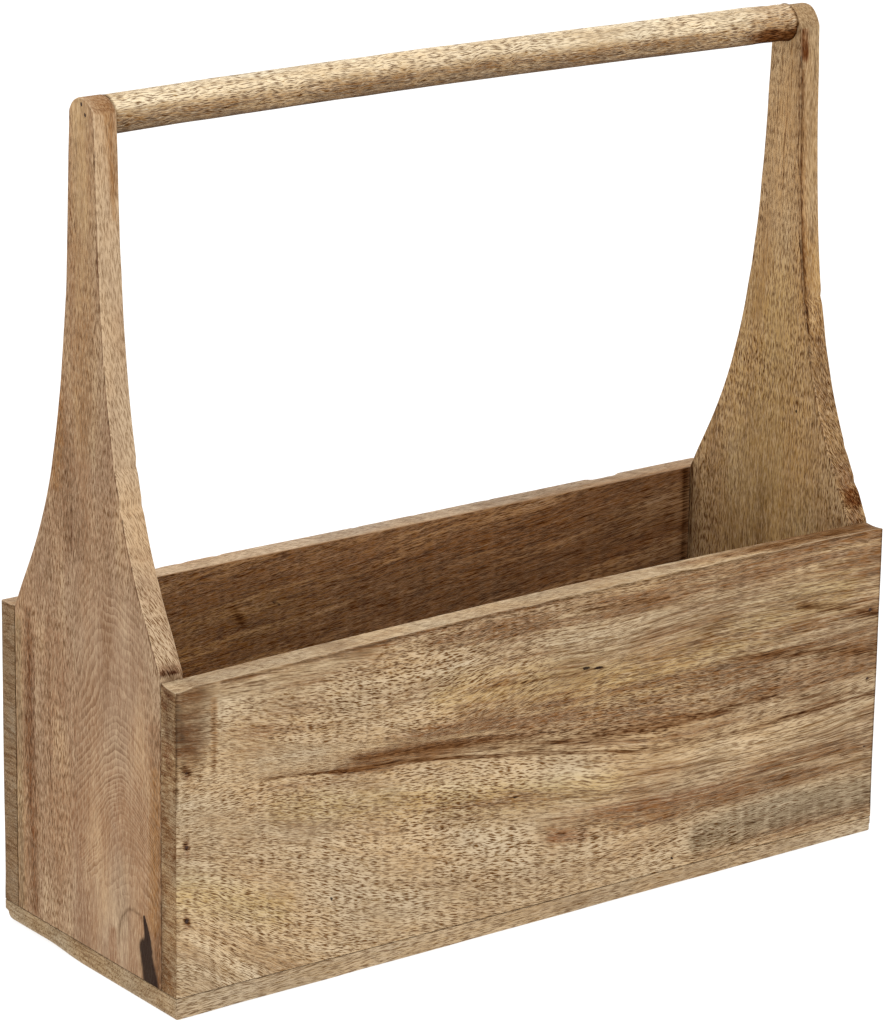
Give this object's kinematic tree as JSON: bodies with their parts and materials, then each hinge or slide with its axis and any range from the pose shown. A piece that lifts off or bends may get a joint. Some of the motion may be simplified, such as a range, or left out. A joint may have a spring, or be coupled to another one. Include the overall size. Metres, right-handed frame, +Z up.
{
  "type": "wooden tool tote",
  "caption": "Open wooden tool tote: long nailed box with two tall tapered ends that carry a round wooden handle between them.",
  "frame": {"origin": "centre of the underside of the bottom board, on the floor", "axes": "+X along the tote to its right end, +Y from the front board to the back board, +Z up"},
  "size_m": [0.41, 0.144, 0.4038],
  "materials": {
    "bottom_wood": "plain oiled hardwood, brown, sanded",
    "front_wood": "plain oiled hardwood, tan with brown streaks and dark pores",
    "back_wood": "plain oiled hardwood, brown with darker blotches",
    "left_end_wood": "plain oiled hardwood, reddish tan with arched grain",
    "right_end_wood": "plain oiled hardwood, tan, fine upright grain",
    "dowel_wood": "plain hardwood, pale cream, shaved round",
    "brad_steel": "dull dark wire"
  },
  "bodies": {
    "root": {"bottom_board": "bottom_wood", "front_board": "front_wood", "back_board": "back_wood", "left_end": "left_end_wood", "right_end": "right_end_wood", "handle_dowel": "dowel_wood", "front_board_brads": "brad_steel", "back_board_brads": "brad_steel", "bottom_board_brads": "brad_steel", "handle_brads": "brad_steel"}
  },
  "joints": []
}
